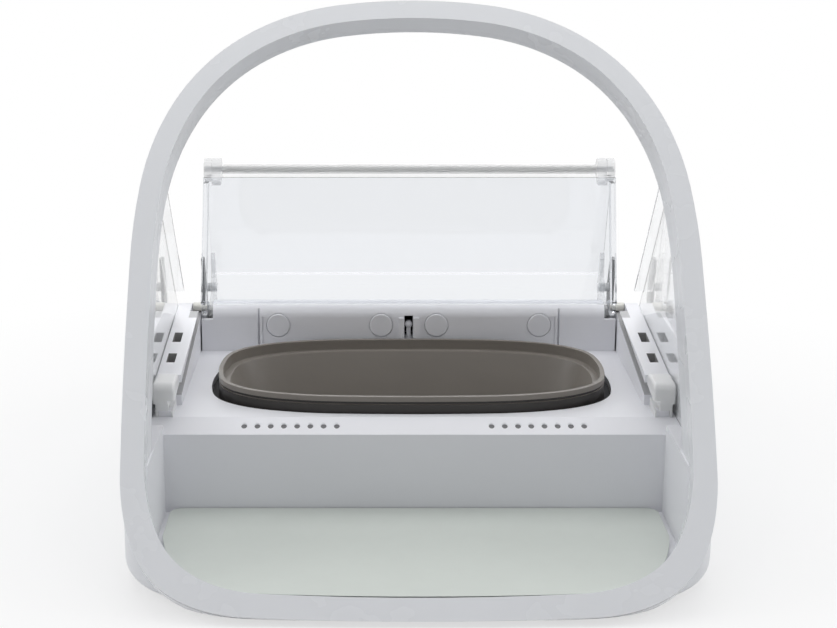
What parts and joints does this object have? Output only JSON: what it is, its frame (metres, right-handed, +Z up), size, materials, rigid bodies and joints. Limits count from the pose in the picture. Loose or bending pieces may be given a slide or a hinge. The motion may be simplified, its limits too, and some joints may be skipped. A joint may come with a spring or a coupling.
{
  "type": "microchip pet feeder",
  "caption": "Pet feeder with a leaning antenna hoop, a clear folding lid on rails over a lift-out oval bowl, a mat tray and a battery housing behind.",
  "frame": {"origin": "floor level, under the middle of the feeder's width and depth", "axes": "+X to the feeder's right as seen from the front, +Y from the hoop to the back, +Z up; the front faces -Y"},
  "size_m": [0.23, 0.32, 0.205],
  "materials": {
    "white_shell": "fine satin moulding",
    "white_hoop": "satin moulding",
    "white_inner": "satin moulding",
    "clear_plastic": "clear polished sheet",
    "cap_plastic": "milky, slightly see-through",
    "bowl_grey": "satin",
    "mat_grey": "fine grain",
    "tube_grey": "satin",
    "dark_lens": "polished",
    "button_grey": "satin",
    "rubber_grey": "matt",
    "silicone": "matt",
    "steel": "brushed",
    "copper": "enamelled wire",
    "gear_white": "natural acetal",
    "board_green": "lacquered laminate",
    "cell_jacket": "printed sleeve",
    "motor_black": "moulded",
    "strip_grey": "satin",
    "liner_grey": "matt"
  },
  "bodies": {
    "housing": {"base_shell": "white_shell", "rear_housing": "white_shell", "deck_housing": "white_inner", "hoop_front": "white_hoop", "hoop_rear": "white_hoop", "antenna_coil": "copper", "sensor_windows": "dark_lens", "rear_wall_panel": "white_inner", "round_plugs": "white_inner", "centre_clip": "white_inner", "left_rail": "white_inner", "right_rail": "white_inner", "left_rail_cap": "cap_plastic", "right_rail_cap": "cap_plastic", "left_side_screen": "clear_plastic", "right_side_screen": "clear_plastic", "left_hinge_bracket": "strip_grey", "right_hinge_bracket": "strip_grey", "gearmotor": "motor_black", "shaft_bushes": "gear_white", "control_board": "board_green", "battery_cells": "cell_jacket", "battery_contacts": "steel", "key_pad": "silicone", "rubber_feet": "rubber_grey", "case_screws": "steel", "bowl_gasket": "rubber_grey", "left_track_liner": "liner_grey", "right_track_liner": "liner_grey"},
    "rear_lid": {"rear_lid_panel": "clear_plastic", "left_sector_arm": "clear_plastic", "right_sector_arm": "clear_plastic", "lid_hinge_pin": "steel", "lid_hinge_tube": "tube_grey", "rear_knuckles": "cap_plastic"},
    "front_lid": {"front_lid_panel": "clear_plastic", "track_rollers": "gear_white", "front_knuckles": "cap_plastic"},
    "drive_shaft": {"drive_shaft": "steel", "drive_pinions": "gear_white", "shaft_gear": "gear_white"},
    "motor_gear": {"motor_gear": "gear_white"},
    "left_button": {"left_button": "button_grey"},
    "centre_button": {"centre_button": "button_grey"},
    "right_button": {"right_button": "button_grey"},
    "left_battery_door": {"left_battery_door": "white_shell"},
    "right_battery_door": {"right_battery_door": "white_shell"},
    "bowl": {"bowl": "bowl_grey"},
    "mat": {"mat": "mat_grey"}
  },
  "joints": [
    {"name": "lid_rear_hinge", "type": "hinge", "parent": "housing", "child": "rear_lid", "pos_m": [0, 0.06353, 0.06726], "axis": [1, 0, 0], "range_deg": [0, 77.2]},
    {"name": "lid_mid_hinge", "type": "hinge", "parent": "rear_lid", "child": "front_lid", "pos_m": [0, 0.04255, 0.12719], "axis": [1, 0, 0], "range_deg": [-154.6, 0]},
    {"name": "drive_shaft_spin", "type": "hinge", "parent": "housing", "child": "drive_shaft", "pos_m": [0, 0.07242, 0.04283], "axis": [1, 0, 0], "range_deg": [-174, 0]},
    {"name": "motor_gear_spin", "type": "hinge", "parent": "housing", "child": "motor_gear", "pos_m": [0.0615, 0.06151, 0.03653], "axis": [1, 0, 0], "range_deg": [0, 435]},
    {"name": "bowl_lift", "type": "slide", "parent": "housing", "child": "bowl", "axis": [0, 0, 1], "range_m": [0, 0.06]},
    {"name": "mat_lift", "type": "slide", "parent": "housing", "child": "mat", "axis": [0, 0, 1], "range_m": [0, 0.02]},
    {"name": "left_button_press", "type": "slide", "parent": "housing", "child": "left_button", "axis": [0, -0.4008, -0.9162], "range_m": [0, 0.0012], "stiffness_N_per_m": 300},
    {"name": "centre_button_press", "type": "slide", "parent": "housing", "child": "centre_button", "axis": [0, -0.4008, -0.9162], "range_m": [0, 0.0012], "stiffness_N_per_m": 300},
    {"name": "right_button_press", "type": "slide", "parent": "housing", "child": "right_button", "axis": [0, -0.4008, -0.9162], "range_m": [0, 0.0012], "stiffness_N_per_m": 300},
    {"name": "left_battery_door_pull", "type": "slide", "parent": "housing", "child": "left_battery_door", "axis": [0, 0, -1], "range_m": [0, 0.03]},
    {"name": "right_battery_door_pull", "type": "slide", "parent": "housing", "child": "right_battery_door", "axis": [0, 0, -1], "range_m": [0, 0.03]}
  ],
  "couplings": [
    {"joint": "lid_mid_hinge", "follows": "lid_rear_hinge", "ratio": -2},
    {"joint": "drive_shaft_spin", "follows": "lid_rear_hinge", "ratio": -2.25},
    {"joint": "motor_gear_spin", "follows": "lid_rear_hinge", "ratio": 5.625}
  ]
}
